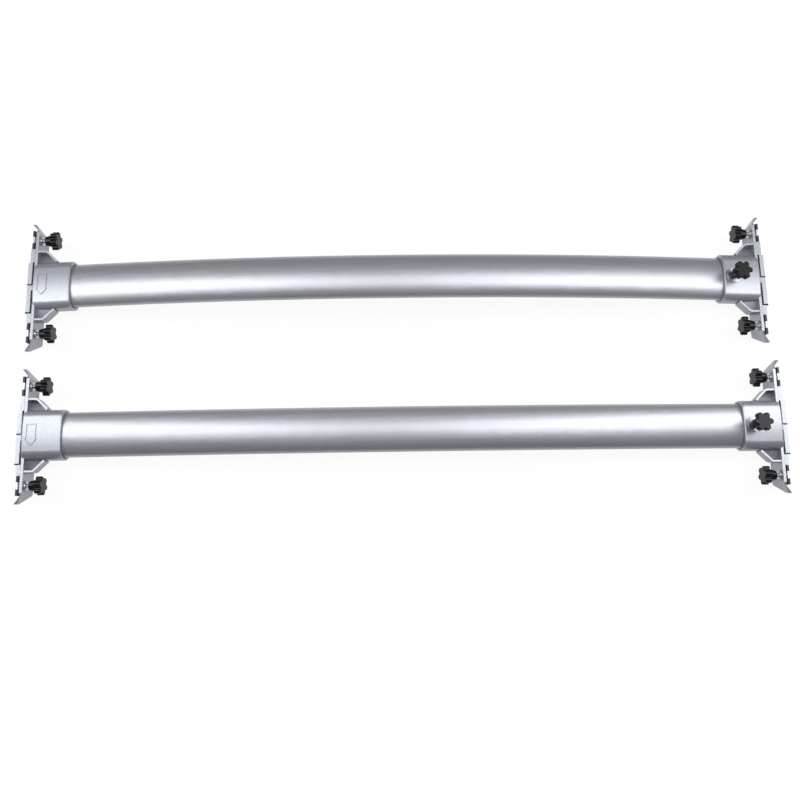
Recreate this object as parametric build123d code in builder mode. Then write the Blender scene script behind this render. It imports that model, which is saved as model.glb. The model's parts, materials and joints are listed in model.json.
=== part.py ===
from build123d import *
import math
import os

# A pair of roof cross bars for a car's side rails, in millimetres.
# X runs along the bars, the rear bar is on the +Y side, and the feet stand on z = 0.
# Everything is drawn for a right foot around its bar's middle, and mirrored for a left one.

# The two bars
front_half_span = 547.5  # from a bar's middle to its feet
rear_half_span = 542.5
front_camber = 14.5  # rise of the bent stretch
rear_camber = 26.0
rear_shift = -5.0  # the bars lie a little out of line
bar_spacing = 225.5
straight_end = 87.5  # length left unbent at each end

# Tube
tube_width = 66.0
tube_height = 29.5
tube_wall = 2.2
tube_insertion = 48.0

# Socket of a foot, measured along its own sloping axis from the mouth
mouth_inset = 56.5
mouth_height = 28.5
socket_wall = 3.4
socket_gap = 0.35
socket_depth = 54.0
socket_crown = 3.0  # how far its top and bottom bulge
socket_rounding = 14.0
mouth_rounding = 2.0
mouth_bevel = 1.2  # opens the mouth inside
end_rounding = 3.0  # where the socket's far end meets the plate

# Mounting plate
plate_inset = 1.2  # its inboard face, from the span's end
plate_thickness = 3.8
rim_height = 36.5
rim_half_length = 83.5
tip_drop = 9.0
tip_half_length = 98.8
tip_edge = 6.0  # upright edge below each tip
foot_half_length = 86.0
tip_reach = 14.4  # how far the ends hook outboard of the plate's inboard face
tip_width = 5.0
tip_bend_share = 5 / 17  # of a hook's length, to where its outboard face turns

# Ribs beside the socket, with sloping webs
rib_thickness = 2.6
rib_corner_inset = 13.9
rib_corner_y = 52.7
rib_corner_rounding = 6.0
rib_toe_inset = 29.5
rib_drop = 0.8  # below the rim
rib_height = 17.0
web_top_y = 32.0
web_top_drop = 5.0  # below the rim, beside the socket
web_bottom_drop = 14.0  # below the rim, beside the rib
web_thickness = 3.0

# Ledge and lips that meet the rail
ledge_reach = 8.0
ledge_half_length = 57.5
ledge_groove = 1.8  # between the plate and the ledge's plain ends
ledge_top = 33.2
ledge_bottom = 16.0
ledge_floor = 5.0
strip_thickness = 4.2
strip_length = 35.6
strip_stand = 0.9
strip_flange = 1.8
lip_thickness = 6.4
lip_block_length = 8.0
first_strip_start = 0.6  # near end of the rear strip

# Clamps
clamp_y = 72.8
clamp_height = 25.8
bolt_radius = 3.0
bolt_hole_gap = 0.4
clamp_pad_radius = 8.0
clamp_pad_height = 0.8
washer_radius = 6.2
washer_thickness = 1.4
head_gap = 4.2  # from the plate to the T head
head_thickness = 3.0
head_length = 27.0
head_height = 12.0
head_bevel = 0.9
cap_wall = 0.6
cap_length = 9.0

# Star knobs
knob_lobes = 6
knob_radius = 14.0
knob_lobe_radius = 4.0
knob_valley_radius = 2.2
knob_head_height = 9.0
knob_bevel = 1.1
knob_bore_gap = 0.05
knob_bore_end_gap = 1.0  # from a clamp bolt's end to the end of its knob's bore
knob_face_wall = 4.0
clamp_stem_height = 10.2
clamp_stem_root = 6.8  # radius at the root
clamp_stem_neck = 9.6  # radius under the head
clamp_root_inset = 8.2
clamp_turns = {"fore": 10.0, "aft": 28.0}  # degrees, as the knobs happen to stand
lock_stem_height = 16.5
lock_stem_root = 5.4
lock_stem_neck = 8.4
lock_turn = 30.0

# Lock on the sliding foot
lock_inset = 15.0  # from the mouth, along the socket
lock_pad_radius = 11.6
lock_pad_height = 0.8
lock_washer_radius = 10.6
lock_washer_thickness = 1.6
lock_knob_gap = 0.3
lock_tube_gap = 0.3

# Screws of the fixed foot
screw_insets = (16.0, 36.0)
screw_radius = 2.5
screw_gap = 0.2
screw_head_radius = 4.8
screw_head_height = 2.4
screw_reach = 6.0  # of its hole into the tube, from the lower face
screw_end_gap = 1.0  # from the screw's end to the hole's depth

socket_half_width = tube_width / 2 + socket_gap + socket_wall
socket_half_height = tube_height / 2 + socket_gap + socket_wall
tip_land = rim_half_length + tip_bend_share * (tip_half_length - rim_half_length)
strip_starts = (first_strip_start, first_strip_start - strip_length - lip_block_length)
bars = {
    "front": {"half_span": front_half_span, "camber": front_camber, "x": 0.0, "y": -bar_spacing / 2},
    "rear": {"half_span": rear_half_span, "camber": rear_camber, "x": rear_shift, "y": bar_spacing / 2},
}


def bend_radius(bar):
    chord = bar["half_span"] - straight_end
    return (chord**2 + bar["camber"] ** 2) / (2 * bar["camber"])


def end_slope(bar):
    """Slope of a bar's straight ends, in degrees."""
    return math.degrees(math.asin((bar["half_span"] - straight_end) / bend_radius(bar)))


def socket_plane(bar, inset=0.0):
    """Plane across the right socket, its local x along Y and its normal pointing outboard."""
    slope = math.radians(end_slope(bar))
    along = Vector(math.cos(slope), 0, -math.sin(slope))
    mouth = Vector(bar["half_span"] - mouth_inset, 0, mouth_height)
    return Plane(origin=mouth + along * inset, x_dir=(0, 1, 0), z_dir=along)


def socket_normal_plane(bar, inset, height, down=False):
    """Plane on the socket's axis, moved up by height and facing away from the socket's middle."""
    across = socket_plane(bar, inset)
    normal = Vector(-across.z_dir.Z, 0, across.z_dir.X)
    if down:
        normal = normal * -1
    return Plane(origin=across.origin + normal * height, x_dir=(0, 1, 0), z_dir=normal)


def socket_outline():
    """Outline of the socket: crowned above and below, with rounded sides."""
    shoulder = socket_half_height - socket_crown
    for end in (-1, 1):
        ThreePointArc(
            (-socket_half_width, end * shoulder),
            (0, end * socket_half_height),
            (socket_half_width, end * shoulder),
        )
        Line((end * socket_half_width, -shoulder), (end * socket_half_width, shoulder))


def make_tube(bar):
    """Hollow oval tube: a bent middle stretch and two straight ends."""
    slope = end_slope(bar)
    straight_start = (mouth_inset - straight_end) / math.cos(math.radians(slope))
    bend_end = socket_plane(bar, straight_start)
    centre = Axis((0, 0, bend_end.origin.Z + bar["camber"] - bend_radius(bar)), (0, -1, 0))
    with BuildPart() as tube:
        with BuildSketch(bend_end) as section:
            Ellipse(tube_width / 2, tube_height / 2)
            Ellipse(tube_width / 2 - tube_wall, tube_height / 2 - tube_wall, mode=Mode.SUBTRACT)
        extrude(amount=tube_insertion - straight_start)
        revolve(section.sketch, axis=centre, revolution_arc=slope)
        mirror(about=Plane.YZ)
        for inset in screw_insets:
            below = socket_normal_plane(bar, inset, tube_height / 2, down=True)
            with BuildSketch(mirrored_plane(below)):
                Circle(screw_radius + screw_gap)
            extrude(amount=-screw_reach, mode=Mode.SUBTRACT)
    return tube.part


def mirrored_plane(plane):
    """The same plane on the left end of the bar."""
    origin = (-plane.origin.X, plane.origin.Y, plane.origin.Z)
    normal = (-plane.z_dir.X, plane.z_dir.Y, plane.z_dir.Z)
    return Plane(origin=origin, x_dir=(0, 1, 0), z_dir=normal)


def make_plate(bar):
    """Upright plate with an eight-sided outline, its two ends hooked outboard."""
    inner = bar["half_span"] - plate_inset
    outer = inner + plate_thickness
    with BuildPart() as plate:
        with BuildSketch(Plane.YZ.offset(inner)):
            with BuildLine():
                Polyline(
                    (-foot_half_length, 0),
                    (foot_half_length, 0),
                    (tip_half_length, rim_height - tip_drop - tip_edge),
                    (tip_half_length, rim_height - tip_drop),
                    (rim_half_length, rim_height),
                    (-rim_half_length, rim_height),
                    (-tip_half_length, rim_height - tip_drop),
                    (-tip_half_length, rim_height - tip_drop - tip_edge),
                    close=True,
                )
            make_face()
        extrude(amount=tip_reach)
        with BuildSketch(Plane.XY) as plan:
            with BuildLine():
                Polyline(
                    (inner, -rim_half_length),
                    (inner, rim_half_length),
                    (inner + tip_reach - tip_width, tip_half_length),
                    (inner + tip_reach, tip_half_length),
                    (outer, tip_land),
                    (outer, -tip_land),
                    (inner + tip_reach, -tip_half_length),
                    (inner + tip_reach - tip_width, -tip_half_length),
                    close=True,
                )
            make_face()
        extrude(to_extrude=plan.sketch, amount=rim_height, mode=Mode.INTERSECT)
        with BuildSketch(Plane.YZ.offset(inner)) as pads:
            with Locations((clamp_y, clamp_height), (-clamp_y, clamp_height)):
                Circle(clamp_pad_radius)
        extrude(to_extrude=pads.sketch, amount=-clamp_pad_height)
    return plate.part


def make_ribs(bar):
    """Bent ribs from the plate to the socket, with webs that slope down between them."""
    middle = bar["half_span"] - plate_inset + plate_thickness / 2
    corner = bar["half_span"] - rib_corner_inset
    toe = bar["half_span"] - rib_toe_inset
    toe_y = rib_corner_y - (corner - toe)
    with BuildPart() as ribs:
        for side in (-1, 1):
            with BuildSketch(Plane.YZ.offset(toe)) as slope:
                with BuildLine():
                    Polyline(
                        (side * web_top_y, rim_height - web_top_drop),
                        (side * rib_corner_y, rim_height - web_bottom_drop),
                        (side * rib_corner_y, rim_height - web_bottom_drop - web_thickness),
                        (side * web_top_y, rim_height - web_top_drop - web_thickness),
                        close=True,
                    )
                make_face()
            extrude(to_extrude=slope.sketch, amount=middle - toe)
        with BuildSketch(Plane.XY) as plan:
            with BuildLine():
                Polyline(
                    (middle, -rib_corner_y),
                    (corner, -rib_corner_y),
                    (toe, -toe_y),
                    (toe, toe_y),
                    (corner, rib_corner_y),
                    (middle, rib_corner_y),
                    close=True,
                )
            make_face()
        extrude(to_extrude=plan.sketch, amount=rim_height, mode=Mode.INTERSECT)
        for side in (-1, 1):
            with BuildSketch(Plane.XY.offset(rim_height - rib_drop)) as wall:
                with BuildLine():
                    FilletPolyline(
                        (middle, side * rib_corner_y),
                        (corner, side * rib_corner_y),
                        (toe, side * toe_y),
                        radius=rib_corner_rounding,
                    )
                trace(line_width=rib_thickness)
            extrude(to_extrude=wall.sketch, amount=-rib_height)
    return ribs.part


def strip_outline(bar):
    """Outline of the two rubber strips, each with a flange over the near end of its lip."""
    outer = bar["half_span"] - plate_inset + plate_thickness
    for start in strip_starts:
        with Locations((outer, start)):
            Rectangle(strip_thickness, strip_length, align=(Align.MIN, Align.MIN))
            Rectangle(strip_thickness + lip_thickness, strip_flange, align=(Align.MIN, Align.MIN))


def make_ledge(bar):
    """Grooved ledge on the rail side, with two lips that stand out behind the rubber strips."""
    outer = bar["half_span"] - plate_inset + plate_thickness
    lip_reach = strip_thickness + lip_thickness
    with BuildPart() as ledge:
        with BuildSketch(Plane.XY.offset(ledge_bottom)):
            with Locations((outer, 0)):
                Rectangle(ledge_reach, 2 * ledge_half_length, align=(Align.MIN, Align.CENTER))
            for start in strip_starts:
                with Locations((outer, start)):
                    Rectangle(lip_reach, strip_length, align=(Align.MIN, Align.MIN))
            with Locations((outer, strip_starts[0])):
                Rectangle(lip_reach, lip_block_length, align=(Align.MIN, Align.MAX))
        extrude(amount=ledge_top - ledge_bottom)
        with BuildSketch(Plane.XY.offset(ledge_top)):
            strip_outline(bar)
            for edge, length in (
                (ledge_half_length, ledge_half_length - strip_starts[0] - strip_length),
                (strip_starts[1], ledge_half_length + strip_starts[1]),
            ):
                with Locations((outer, edge)):
                    Rectangle(ledge_groove, length, align=(Align.MIN, Align.MAX))
        extrude(amount=ledge_bottom + ledge_floor - ledge_top, mode=Mode.SUBTRACT)
    return ledge.part


def make_casting(bar, side):
    """One die-cast foot, with a lock pad on the sliding side and screw holes on the fixed side."""
    plate = make_plate(bar)
    ribs = make_ribs(bar)
    ledge = make_ledge(bar)
    outer = bar["half_span"] - plate_inset + plate_thickness
    with BuildPart() as casting:
        with BuildSketch(socket_plane(bar)) as outline:
            with BuildLine():
                socket_outline()
            make_face()
            fillet(outline.vertices(), socket_rounding)
        extrude(amount=2 * mouth_inset)
        fillet(casting.faces().sort_by(Axis.X)[0].edges(), mouth_rounding)
        split(bisect_by=Plane.YZ.offset(outer), keep=Keep.BOTTOM)
        fillet(casting.faces().sort_by(Axis.X)[-1].edges(), end_rounding)
        add(plate)
        add(ribs)
        add(ledge)
        if side == "right":
            with BuildSketch(socket_normal_plane(bar, lock_inset, 0)):
                Circle(lock_pad_radius)
            extrude(amount=socket_half_height + lock_pad_height)
            with BuildSketch(socket_normal_plane(bar, lock_inset, 0)):
                Circle(bolt_radius + bolt_hole_gap)
            extrude(amount=socket_half_height + lock_pad_height, mode=Mode.SUBTRACT)
        else:
            for inset in screw_insets:
                with BuildSketch(socket_normal_plane(bar, inset, 0, down=True)):
                    Circle(screw_radius + screw_gap)
                extrude(amount=2 * socket_half_height, mode=Mode.SUBTRACT)
                with BuildSketch(socket_normal_plane(bar, inset, socket_half_height - screw_gap, down=True)):
                    Circle(screw_head_radius + screw_gap)
                extrude(amount=socket_half_height, mode=Mode.SUBTRACT)
        with BuildSketch(socket_plane(bar)):
            Ellipse(tube_width / 2 + socket_gap, tube_height / 2 + socket_gap)
        extrude(amount=socket_depth, mode=Mode.SUBTRACT)
        with BuildSketch(socket_plane(bar)):
            Ellipse(tube_width / 2 + socket_gap + mouth_bevel, tube_height / 2 + socket_gap + mouth_bevel)
        with BuildSketch(socket_plane(bar, mouth_bevel)):
            Ellipse(tube_width / 2 + socket_gap, tube_height / 2 + socket_gap)
        loft(mode=Mode.SUBTRACT)
        with BuildSketch(Plane.YZ.offset(outer + ledge_reach)) as holes:
            with Locations((clamp_y, clamp_height), (-clamp_y, clamp_height)):
                Circle(bolt_radius + bolt_hole_gap)
        extrude(to_extrude=holes.sketch, amount=-2 * (plate_thickness + ledge_reach), mode=Mode.SUBTRACT)
    return casting.part


def make_strips(bar):
    """Two rubber strips standing in the ledge's groove."""
    floor = ledge_bottom + ledge_floor
    with BuildPart() as strips:
        with BuildSketch(Plane.XY.offset(floor)):
            strip_outline(bar)
        extrude(amount=ledge_top - floor + strip_stand)
    return strips.part


def make_bolt(bar, y):
    """Clamp bolt with a T head that hooks into the rail."""
    outer = bar["half_span"] - plate_inset + plate_thickness
    bore_end = bar["half_span"] - clamp_root_inset - clamp_stem_height - knob_head_height + knob_face_wall
    tip = bore_end + knob_bore_end_gap
    head = outer + head_gap
    with BuildPart() as bolt:
        with Locations((head, y, clamp_height)):
            Box(head_thickness, head_length, head_height, align=(Align.MIN, Align.CENTER, Align.CENTER))
        chamfer(bolt.edges().filter_by(Axis.Y), head_bevel)
        with BuildSketch(Plane.YZ.offset(tip)):
            with Locations((y, clamp_height)):
                Circle(bolt_radius)
        extrude(amount=head + head_bevel - tip)
    return bolt.part


def make_caps(bar):
    """Plastic end caps on the T heads of one foot's clamp bolts."""
    outer = bar["half_span"] - plate_inset + plate_thickness
    middle = outer + head_gap + head_thickness / 2
    with BuildPart() as caps:
        for y in (clamp_y, -clamp_y):
            for side in (-1, 1):
                end = y + side * (head_length / 2 + cap_wall)
                with Locations((middle, end - side * cap_length / 2, clamp_height)):
                    Box(head_thickness + 2 * cap_wall, cap_length, head_height + 2 * cap_wall)
        chamfer(caps.edges().filter_by(Axis.Y), head_bevel)
        with Locations((middle, clamp_y, clamp_height), (middle, -clamp_y, clamp_height)):
            Box(head_thickness, head_length, head_height, mode=Mode.SUBTRACT)
    return caps.part


def make_washers(bar):
    """Two plain washers between the plate's pads and the clamp knobs."""
    seat = bar["half_span"] - plate_inset - clamp_pad_height
    with BuildPart() as washers:
        with BuildSketch(Plane.YZ.offset(seat)):
            with Locations((clamp_y, clamp_height), (-clamp_y, clamp_height)):
                Circle(washer_radius)
                Circle(bolt_radius + bolt_hole_gap, mode=Mode.SUBTRACT)
        extrude(amount=-washer_thickness)
    return washers.part


def star_outline():
    """Outline of round lobes with round valleys between, all tangent."""
    half_pitch = math.pi / knob_lobes
    lobe_place = knob_radius - knob_lobe_radius
    reach = knob_lobe_radius + knob_valley_radius
    valley_place = lobe_place * math.cos(half_pitch)
    valley_place += math.sqrt(reach**2 - (lobe_place * math.sin(half_pitch)) ** 2)
    valley_tip = Vector(valley_place - knob_valley_radius, 0).rotate(Axis.Z, math.degrees(half_pitch))
    lobe = Vector(lobe_place, 0)
    valley = Vector(valley_place, 0).rotate(Axis.Z, math.degrees(half_pitch))
    touch = lobe + (valley - lobe) * (knob_lobe_radius / reach)
    for turn in range(knob_lobes):
        angle = turn * 360 / knob_lobes
        start = Vector(touch.X, -touch.Y).rotate(Axis.Z, angle)
        end = touch.rotate(Axis.Z, angle)
        following = Vector(touch.X, -touch.Y).rotate(Axis.Z, angle + 360 / knob_lobes)
        ThreePointArc(start, Vector(knob_radius, 0).rotate(Axis.Z, angle), end)
        ThreePointArc(end, valley_tip.rotate(Axis.Z, angle), following)


def make_knob(stem_height, root_radius, neck_radius):
    """Star knob standing on its root at z = 0, with a blind bore from below."""
    up = (Align.CENTER, Align.CENTER, Align.MIN)
    with BuildPart() as knob:
        Cone(root_radius, neck_radius, stem_height, align=up)
        with BuildSketch(Plane.XY.offset(stem_height)):
            with BuildLine():
                star_outline()
            make_face()
        extrude(amount=knob_head_height)
        chamfer(knob.faces().sort_by(Axis.Z)[-1].edges(), knob_bevel)
        with BuildSketch():
            Circle(bolt_radius + knob_bore_gap)
        extrude(amount=stem_height + knob_head_height - knob_face_wall, mode=Mode.SUBTRACT)
    return knob.part


def make_clamp_knob(bar, y, turn):
    root = Vector(bar["half_span"] - clamp_root_inset, y, clamp_height)
    seat = Plane(origin=root, x_dir=(0, 0, 1), z_dir=(-1, 0, 0))
    with BuildPart() as placed:
        with Locations(seat):
            add(clamp_knob, rotation=(0, 0, turn))
    return placed.part


def lock_seat(bar, height=0.0):
    """Plane on top of the lock pad, moved up by height."""
    return socket_normal_plane(bar, lock_inset, socket_half_height + lock_pad_height + height)


def make_lock_knob(bar):
    with BuildPart() as placed:
        with Locations(lock_seat(bar, lock_washer_thickness + lock_knob_gap)):
            add(lock_knob, rotation=(0, 0, lock_turn))
    return placed.part


def make_lock_stud(bar):
    """Threaded stud of the lock knob, reaching down to the tube."""
    root = socket_half_height + lock_pad_height + lock_washer_thickness + lock_knob_gap
    bottom = tube_height / 2 + lock_tube_gap
    top = root + lock_stem_height + knob_head_height - knob_face_wall
    with BuildPart() as stud:
        with BuildSketch(socket_normal_plane(bar, lock_inset, bottom)):
            Circle(bolt_radius)
        extrude(amount=top - bottom)
    return stud.part


def make_lock_washer(bar):
    with BuildPart() as washer:
        with BuildSketch(lock_seat(bar)):
            Circle(lock_washer_radius)
            Circle(bolt_radius + bolt_hole_gap, mode=Mode.SUBTRACT)
        extrude(amount=lock_washer_thickness)
    return washer.part


def make_screws(bar):
    """Two pan-head screws that hold the tube in the fixed foot, from below."""
    with BuildPart() as screws:
        for inset in screw_insets:
            seat = socket_normal_plane(bar, inset, socket_half_height - screw_gap, down=True)
            with BuildSketch(seat):
                Circle(screw_head_radius)
            extrude(amount=screw_head_height)
            with BuildSketch(seat):
                Circle(screw_radius)
            extrude(amount=tube_height / 2 - socket_half_height + screw_gap - screw_reach + screw_end_gap)
    return screws.part


def write(piece, name, bar, side="right"):
    """Moves a piece to its bar, mirrors it for a left foot, and writes it."""
    if side == "left":
        piece = mirror(piece, about=Plane.YZ)
    with BuildPart() as placed:
        with Locations((bar["x"], bar["y"], 0)):
            add(piece)
    placed.part.label = name
    export_step(placed.part, f"parts/{name}.step")


clamp_knob = make_knob(clamp_stem_height, clamp_stem_root, clamp_stem_neck)
lock_knob = make_knob(lock_stem_height, lock_stem_root, lock_stem_neck)
os.makedirs("parts", exist_ok=True)
for bar_name, bar in bars.items():
    write(make_tube(bar), f"{bar_name}_tube", bar)
    write(make_screws(bar), f"{bar_name}_left_fixing_screws", bar, "left")
    write(make_lock_knob(bar), f"{bar_name}_lock_knob", bar)
    write(make_lock_stud(bar), f"{bar_name}_lock_stud", bar)
    write(make_lock_washer(bar), f"{bar_name}_lock_washer", bar)
    for side in ("left", "right"):
        foot = f"{bar_name}_{side}"
        write(make_casting(bar, side), f"{foot}_foot", bar, side)
        write(make_strips(bar), f"{foot}_rubber_strips", bar, side)
        write(make_caps(bar), f"{foot}_clamp_caps", bar, side)
        write(make_washers(bar), f"{foot}_clamp_washers", bar, side)
        for place, y in (("fore", -clamp_y), ("aft", clamp_y)):
            write(make_bolt(bar, y), f"{foot}_{place}_clamp_bolt", bar, side)
            write(make_clamp_knob(bar, y, clamp_turns[place]), f"{foot}_{place}_clamp_knob", bar, side)
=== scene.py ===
import json
import math

import bmesh
import bpy
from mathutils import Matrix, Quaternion, Vector
from mathutils.bvhtree import BVHTree

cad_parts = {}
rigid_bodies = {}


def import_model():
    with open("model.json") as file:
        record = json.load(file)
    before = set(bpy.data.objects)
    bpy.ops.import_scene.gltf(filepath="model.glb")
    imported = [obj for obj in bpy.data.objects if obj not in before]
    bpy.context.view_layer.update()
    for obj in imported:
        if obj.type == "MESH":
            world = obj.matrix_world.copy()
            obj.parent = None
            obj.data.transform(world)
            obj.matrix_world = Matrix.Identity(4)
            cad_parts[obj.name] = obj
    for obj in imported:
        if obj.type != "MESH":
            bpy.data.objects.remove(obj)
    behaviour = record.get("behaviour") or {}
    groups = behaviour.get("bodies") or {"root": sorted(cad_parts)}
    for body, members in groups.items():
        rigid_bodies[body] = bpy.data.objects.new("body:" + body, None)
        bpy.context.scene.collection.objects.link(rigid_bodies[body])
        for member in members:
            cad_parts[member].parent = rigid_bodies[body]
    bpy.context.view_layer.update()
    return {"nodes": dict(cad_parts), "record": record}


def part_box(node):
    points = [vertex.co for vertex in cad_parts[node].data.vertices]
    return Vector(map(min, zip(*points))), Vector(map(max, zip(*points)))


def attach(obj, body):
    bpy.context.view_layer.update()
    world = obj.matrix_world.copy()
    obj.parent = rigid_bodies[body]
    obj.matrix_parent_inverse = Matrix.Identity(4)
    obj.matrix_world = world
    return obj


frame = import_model()

BARS = ("front", "rear")
SIDES = ("left", "right")
PLACES = ("fore", "aft")

# Camera, found by fitting one pinhole view to both bars
PICTURE_SIDE = 800
FOCAL_PIXELS = 800
CAMERA_PLACE = Vector((-0.0231, -0.2785, 1.1858))
CAMERA_AIM = Vector((-0.0054, -0.0622, 0.0))
CAMERA_ROLL = math.radians(-3.853)
SENSOR_WIDTH = 36.0

# Floor and world
FLOOR_SIZE = 40
FLOOR_PAPER = (0.9, 0.9, 0.9)
FLOOR_BOUNCE = (0.3, 0.3, 0.31)  # what the floor gives back as light
FLOOR_GLOW = 0.94  # share of its white that shadows leave alone
WORLD_COLOR = (0.9, 0.93, 1.0)
WORLD_STRENGTH = 0.12

# Lamps, one pair over each bar
LEFT_LAMP_X = -2.4
RIGHT_LAMP_X = 2.2
LAMP_HEIGHT = 3.0
LAMP_AIM_X = 0.3
LAMP_SIZE = (2.0, 4.8)
# Of each bar's lamps: how much farther out they hang, their y, and the watts of the left and right one
LAMPS = {
    "front": (0.0, 0.95, 132, 142),
    "rear": (0.08, 0.1, 142, 136),
}

# Where noise runs from its lowest to its highest effect
NOISE_LOW = 0.3
NOISE_HIGH = 0.7
RAMP_DARK_AT = 0.35
RAMP_LIGHT_AT = 0.65

# Relief arrow on each fixed foot, in metres: x from the foot's outer face, y from its middle
FACE_TO_TIPS = 0.0106  # from a foot's outermost face to its plate's outer face
ARROW_MIDDLE = 0.0142
ARROW_SHAFT = 0.0068
ARROW_HEAD = 0.0084
ARROW_TAIL_Y = 0.0147
ARROW_BARB_Y = -0.0073
ARROW_TIP_Y = -0.0164
ARROW_STEP = 0.0012
RIDGE_WIDTH = 0.0019
RIDGE_HEIGHT = 0.0010
# Section of its ridge, as shares of half the width and of the height
RIDGE_SECTION = ((-1.0, -0.3), (-0.6, 1), (0.6, 1), (1.0, -0.3))
RAY_START = 0.05  # over the foot's top

# Thread on the stretch of a clamp bolt between its washer and its knob, in metres
THREAD_PITCH = 0.0010
THREAD_ROOT = 0.00302
THREAD_CREST = 0.00335
THREAD_GAP = 0.0002
THREAD_SIDES = 28


def node_box(name):
    low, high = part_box(name)
    return Vector(low), Vector(high)


def new_material(name, color, metallic, roughness):
    material = bpy.data.materials.new(name)
    material.use_nodes = True
    shader = material.node_tree.nodes["Principled BSDF"]
    shader.inputs["Base Color"].default_value = (*color, 1)
    shader.inputs["Metallic"].default_value = metallic
    shader.inputs["Roughness"].default_value = roughness
    return material, shader


def add_node(material, kind, **settings):
    node = material.node_tree.nodes.new(kind)
    for key, value in settings.items():
        setattr(node, key, value)
    return node


def object_noise(material, scale, detail, stretch=(1, 1, 1)):
    """Noise fixed to the object, and stretched along an axis where asked."""
    links = material.node_tree.links
    place = add_node(material, "ShaderNodeTexCoord")
    mapping = add_node(material, "ShaderNodeMapping")
    mapping.inputs["Scale"].default_value = stretch
    noise = add_node(material, "ShaderNodeTexNoise")
    noise.inputs["Scale"].default_value = scale
    noise.inputs["Detail"].default_value = detail
    links.new(place.outputs["Object"], mapping.inputs["Vector"])
    links.new(mapping.outputs["Vector"], noise.inputs["Vector"])
    return noise


def vary_roughness(material, shader, noise, low, high):
    """Lets a noise move the shader's roughness between two limits."""
    links = material.node_tree.links
    spread = add_node(material, "ShaderNodeMapRange")
    spread.inputs["From Min"].default_value = NOISE_LOW
    spread.inputs["From Max"].default_value = NOISE_HIGH
    spread.inputs["To Min"].default_value = low
    spread.inputs["To Max"].default_value = high
    links.new(noise.outputs["Fac"], spread.inputs["Value"])
    links.new(spread.outputs["Result"], shader.inputs["Roughness"])


def tint(material, shader, noise, dark, light):
    """Lets a noise move the shader's colour between two others."""
    links = material.node_tree.links
    ramp = add_node(material, "ShaderNodeValToRGB")
    ramp.color_ramp.elements[0].position = RAMP_DARK_AT
    ramp.color_ramp.elements[0].color = (*dark, 1)
    ramp.color_ramp.elements[1].position = RAMP_LIGHT_AT
    ramp.color_ramp.elements[1].color = (*light, 1)
    links.new(noise.outputs["Fac"], ramp.inputs["Fac"])
    links.new(ramp.outputs["Color"], shader.inputs["Base Color"])


def bump(material, shader, noise, distance):
    """Lets a noise raise the surface by a distance in metres."""
    links = material.node_tree.links
    node = add_node(material, "ShaderNodeBump")
    node.inputs["Strength"].default_value = 1.0
    node.inputs["Distance"].default_value = distance
    links.new(noise.outputs["Fac"], node.inputs["Height"])
    links.new(node.outputs["Normal"], shader.inputs["Normal"])


def coat(shader, weight, roughness):
    shader.inputs["Coat Weight"].default_value = weight
    shader.inputs["Coat Roughness"].default_value = roughness


def tube_paint():
    """Satin silver finish on the extruded tubes, with faint lines along the bar."""
    material, shader = new_material("tube_paint", (0.40, 0.41, 0.44), 0.7, 0.40)
    flakes = object_noise(material, 900, 2.0)
    tint(material, shader, flakes, dark=(0.37, 0.38, 0.415), light=(0.43, 0.44, 0.47))
    lines = object_noise(material, 260, 3.0, stretch=(0.02, 1, 1))
    vary_roughness(material, shader, lines, 0.36, 0.42)
    bump(material, shader, lines, 0.00003)
    coat(shader, weight=0.1, roughness=0.18)
    return material


def casting_paint():
    """Silver lacquer over a die casting, a little darker and bluer than the tubes."""
    material, shader = new_material("casting_paint", (0.34, 0.355, 0.39), 0.6, 0.36)
    flakes = object_noise(material, 900, 2.0)
    tint(material, shader, flakes, dark=(0.31, 0.325, 0.36), light=(0.37, 0.385, 0.42))
    skin = object_noise(material, 420, 4.0)
    vary_roughness(material, shader, skin, 0.33, 0.41)
    bump(material, shader, skin, 0.00006)
    coat(shader, weight=0.1, roughness=0.2)
    return material


def zinc_plate():
    """Bright zinc plate on bolts, washers and screws."""
    material, shader = new_material("zinc_plate", (0.62, 0.62, 0.64), 1.0, 0.38)
    clouds = object_noise(material, 700, 4.0)
    tint(material, shader, clouds, dark=(0.56, 0.57, 0.59), light=(0.70, 0.70, 0.71))
    vary_roughness(material, shader, clouds, 0.32, 0.46)
    return material


def knob_plastic():
    """Moulded black plastic with a half-gloss skin."""
    material, shader = new_material("knob_plastic", (0.006, 0.006, 0.008), 0.0, 0.24)
    grain = object_noise(material, 1500, 3.0)
    vary_roughness(material, shader, grain, 0.20, 0.28)
    bump(material, shader, grain, 0.00002)
    shader.inputs["Specular IOR Level"].default_value = 0.2
    return material


def black_matte(name, roughness):
    """Matte black, for rubber strips and moulded caps."""
    material, shader = new_material(name, (0.012, 0.012, 0.014), 0.0, roughness)
    grain = object_noise(material, 1200, 4.0)
    vary_roughness(material, shader, grain, roughness - 0.08, roughness + 0.08)
    bump(material, shader, grain, 0.00008)
    return material


def dress_nodes():
    """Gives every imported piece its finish, and returns the finishes by slot."""
    finishes = {
        "anodised_tube": tube_paint(),
        "cast_feet": casting_paint(),
        "zinc_steel": zinc_plate(),
        "black_knob": knob_plastic(),
        "black_cap": black_matte("cap_plastic", 0.5),
        "rubber": black_matte("strip_rubber", 0.7),
    }
    slots = {entry["node"]: entry["material_slot"] for entry in frame["record"]["subparts"]}
    for name, piece in frame["nodes"].items():
        piece.data.materials.clear()
        piece.data.materials.append(finishes[slots[name]])
    return finishes


def mesh_object(name, mesh_data, material):
    bmesh.ops.recalc_face_normals(mesh_data, faces=mesh_data.faces)
    mesh = bpy.data.meshes.new(name)
    mesh_data.to_mesh(mesh)
    mesh_data.free()
    mesh.materials.append(material)
    piece = bpy.data.objects.new(name, mesh)
    bpy.context.scene.collection.objects.link(piece)
    return piece


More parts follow.
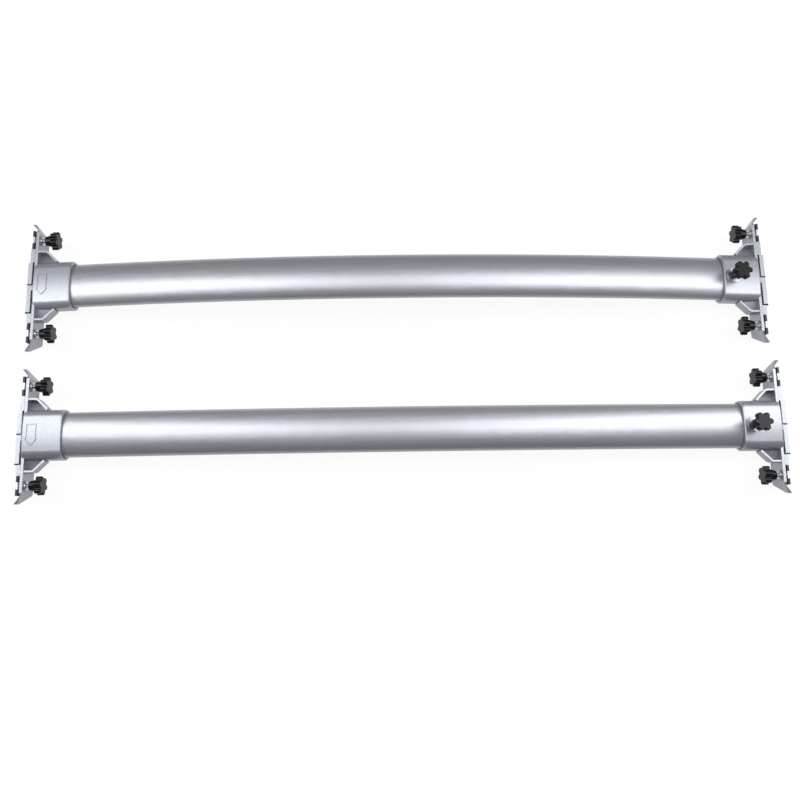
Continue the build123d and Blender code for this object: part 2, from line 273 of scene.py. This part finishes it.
def surface_of(piece):
    mesh_data = bmesh.new()
    mesh_data.from_mesh(piece.data)
    tree = BVHTree.FromBMesh(mesh_data)
    mesh_data.free()
    return tree


def join_rows(mesh_data, rows, closed):
    """Faces between rows of vertices, round each row where closed, and a cap on both ends."""
    count = len(rows[0])
    for first, second in zip(rows, rows[1:]):
        for j in range(count if closed else count - 1):
            k = (j + 1) % count
            mesh_data.faces.new((first[j], first[k], second[k], second[j]))
    mesh_data.faces.new(rows[0][::-1])
    mesh_data.faces.new(rows[-1])


def arrow_outline():
    half = (
        (ARROW_SHAFT, ARROW_TAIL_Y),
        (ARROW_SHAFT, ARROW_BARB_Y),
        (ARROW_HEAD, ARROW_BARB_Y),
        (0.0, ARROW_TIP_Y),
    )
    other = [(-x, y) for x, y in reversed(half[:-1])]
    return [*half, *other]


def add_arrow(bar, material):
    """Raised outline of an arrow on top of a fixed foot's socket, following its curve."""
    surface = surface_of(frame["nodes"][f"{bar}_left_foot"])
    low, high = node_box(f"{bar}_left_foot")
    middle_x = low.x + FACE_TO_TIPS + ARROW_MIDDLE
    middle_y = (low.y + high.y) / 2
    outline = arrow_outline()
    mesh_data = bmesh.new()
    for start, end in zip(outline, outline[1:] + outline[:1]):
        start, end = Vector(start), Vector(end)
        across = (end - start).orthogonal().normalized() * RIDGE_WIDTH / 2
        steps = max(2, math.ceil((end - start).length / ARROW_STEP))
        rows = []
        for i in range(steps + 1):
            point = start.lerp(end, i / steps)
            row = []
            for side, lift in RIDGE_SECTION:
                spot = point + across * side
                origin = Vector((middle_x + spot.x, middle_y + spot.y, high.z + RAY_START))
                hit = surface.ray_cast(origin, Vector((0, 0, -1)))[0]
                row.append(mesh_data.verts.new(hit + Vector((0, 0, RIDGE_HEIGHT * lift))))
            rows.append(row)
        join_rows(mesh_data, rows, closed=False)
    arrow = mesh_object(f"{bar}_left_foot_arrow", mesh_data, material)
    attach(arrow, "bars_and_fixed_feet")


def add_thread(bar, side, place, material):
    """Ridges round a clamp bolt, in the open stretch between its washer and its knob."""
    bolt_low, bolt_high = node_box(f"{bar}_{side}_{place}_clamp_bolt")
    washers_low, washers_high = node_box(f"{bar}_{side}_clamp_washers")
    knob_low, knob_high = node_box(f"{bar}_{side}_{place}_clamp_knob")
    if side == "left":
        start, end = washers_high.x, knob_low.x
    else:
        start, end = knob_high.x, washers_low.x
    start += THREAD_GAP
    turns = int((end - THREAD_GAP - start) / THREAD_PITCH)
    middle = (bolt_low + bolt_high) / 2
    mesh_data = bmesh.new()
    rows = []
    for i in range(2 * turns + 1):
        x = start + i * THREAD_PITCH / 2
        radius = THREAD_CREST if i % 2 else THREAD_ROOT
        row = []
        for j in range(THREAD_SIDES):
            angle = 2 * math.pi * j / THREAD_SIDES
            y = middle.y + radius * math.cos(angle)
            z = middle.z + radius * math.sin(angle)
            row.append(mesh_data.verts.new((x, y, z)))
        rows.append(row)
    join_rows(mesh_data, rows, closed=True)
    thread = mesh_object(f"{bar}_{side}_{place}_thread", mesh_data, material)
    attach(thread, "bars_and_fixed_feet" if side == "left" else f"{bar}_sliding_foot")


def add_floor():
    """Floor that is white where it is seen, with a faint shadow, and grey in the light it gives back."""
    bpy.ops.mesh.primitive_plane_add(size=FLOOR_SIZE)
    floor = bpy.context.object
    floor.name = "floor"
    material, paper = new_material("floor_paper", FLOOR_PAPER, 0.0, 1.0)
    paper.inputs["Specular IOR Level"].default_value = 0.0
    links = material.node_tree.links
    white = add_node(material, "ShaderNodeEmission")
    backdrop = add_node(material, "ShaderNodeMixShader")
    backdrop.inputs[0].default_value = FLOOR_GLOW
    links.new(paper.outputs[0], backdrop.inputs[1])
    links.new(white.outputs[0], backdrop.inputs[2])
    bounce = add_node(material, "ShaderNodeBsdfDiffuse")
    bounce.inputs["Color"].default_value = (*FLOOR_BOUNCE, 1)
    path = add_node(material, "ShaderNodeLightPath")
    seen = path.outputs["Is Camera Ray"]
    for other in ("Is Glossy Ray", "Is Transmission Ray"):
        either = add_node(material, "ShaderNodeMath", operation="MAXIMUM")
        links.new(seen, either.inputs[0])
        links.new(path.outputs[other], either.inputs[1])
        seen = either.outputs[0]
    choice = add_node(material, "ShaderNodeMixShader")
    links.new(seen, choice.inputs[0])
    links.new(bounce.outputs[0], choice.inputs[1])
    links.new(backdrop.outputs[0], choice.inputs[2])
    output = material.node_tree.nodes["Material Output"]
    links.new(choice.outputs[0], output.inputs["Surface"])
    floor.data.materials.append(material)


def add_world():
    world = bpy.data.worlds.new("studio")
    bpy.context.scene.world = world
    world.use_nodes = True
    background = world.node_tree.nodes["Background"]
    background.inputs["Color"].default_value = (*WORLD_COLOR, 1)
    background.inputs["Strength"].default_value = WORLD_STRENGTH


def add_lamp(name, place, aim, power):
    light = bpy.data.lights.new(name, "AREA")
    light.shape = "RECTANGLE"
    light.size, light.size_y = LAMP_SIZE
    light.energy = power
    lamp = bpy.data.objects.new(name, light)
    lamp.location = place
    lamp.rotation_euler = (Vector(aim) - Vector(place)).to_track_quat("-Z", "Y").to_euler()
    bpy.context.scene.collection.objects.link(lamp)
    return lamp


def add_lights():
    """Two soft lamps for each bar, which light that bar alone and leave its middle a little darker."""
    for bar, (outward, y, left_power, right_power) in LAMPS.items():
        lit = bpy.data.collections.new(f"{bar}_lit")
        for piece in bpy.context.scene.objects:
            if piece.name.startswith(bar) or (bar == "front" and piece.name == "floor"):
                lit.objects.link(piece)
        left_place = (LEFT_LAMP_X - outward, y, LAMP_HEIGHT)
        right_place = (RIGHT_LAMP_X + outward, y, LAMP_HEIGHT)
        left = add_lamp(f"{bar}_left_key", left_place, (-LAMP_AIM_X, 0, 0), left_power)
        right = add_lamp(f"{bar}_right_key", right_place, (LAMP_AIM_X, 0, 0), right_power)
        for lamp in (left, right):
            lamp.light_linking.receiver_collection = lit


def add_camera():
    data = bpy.data.cameras.new("camera")
    data.sensor_width = SENSOR_WIDTH
    data.lens = FOCAL_PIXELS / PICTURE_SIDE * SENSOR_WIDTH
    camera = bpy.data.objects.new("camera", data)
    look = (CAMERA_AIM - CAMERA_PLACE).normalized()
    turn = Quaternion(look, CAMERA_ROLL) @ look.to_track_quat("-Z", "Y")
    camera.location = CAMERA_PLACE
    camera.rotation_euler = turn.to_euler()
    bpy.context.scene.collection.objects.link(camera)
    bpy.context.scene.camera = camera


bpy.context.scene.view_settings.view_transform = "Standard"
finishes = dress_nodes()
for bar in BARS:
    add_arrow(bar, finishes["cast_feet"])
    for side in SIDES:
        for place in PLACES:
            add_thread(bar, side, place, finishes["zinc_steel"])
add_floor()
add_world()
add_lights()
add_camera()
